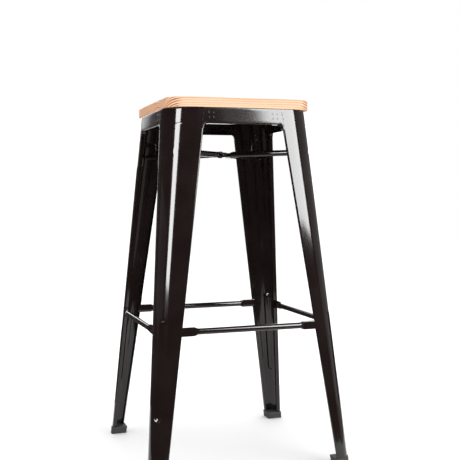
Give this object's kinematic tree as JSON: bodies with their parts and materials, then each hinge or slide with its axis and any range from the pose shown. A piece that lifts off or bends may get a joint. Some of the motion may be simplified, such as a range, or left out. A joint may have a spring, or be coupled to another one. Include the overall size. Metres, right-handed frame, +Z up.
{
  "type": "bar stool with footrest",
  "caption": "Tall square stool on splayed folded-sheet legs, with apron strips, a crossed brace, a ring of footrest rails and a rounded wooden board seat.",
  "frame": {"origin": "middle of the footprint, on the floor", "axes": "+Z up, the front side faces -Y, the boards of the seat run along X"},
  "size_m": [0.433, 0.433, 0.76],
  "materials": {
    "seat_wood": "clear satin varnish",
    "frame_paint": "high gloss black",
    "screw_steel": "zinc plated",
    "foot_rubber": "matt"
  },
  "bodies": {
    "root": {"apron_back": "frame_paint", "apron_front": "frame_paint", "apron_left": "frame_paint", "apron_right": "frame_paint", "brace_bar_lower": "frame_paint", "brace_bar_upper": "frame_paint", "brace_centre_rivet": "frame_paint", "foot_back_left": "foot_rubber", "foot_back_right": "foot_rubber", "foot_front_left": "foot_rubber", "foot_front_right": "foot_rubber", "footrest_back": "frame_paint", "footrest_front": "frame_paint", "footrest_left": "frame_paint", "footrest_right": "frame_paint", "leg_back_left": "frame_paint", "leg_back_right": "frame_paint", "leg_front_left": "frame_paint", "leg_front_right": "frame_paint", "seat_board_1": "seat_wood", "seat_board_2": "seat_wood", "seat_board_3": "seat_wood", "seat_board_4": "seat_wood", "seat_pan": "frame_paint", "seat_screws": "screw_steel"}
  },
  "joints": []
}
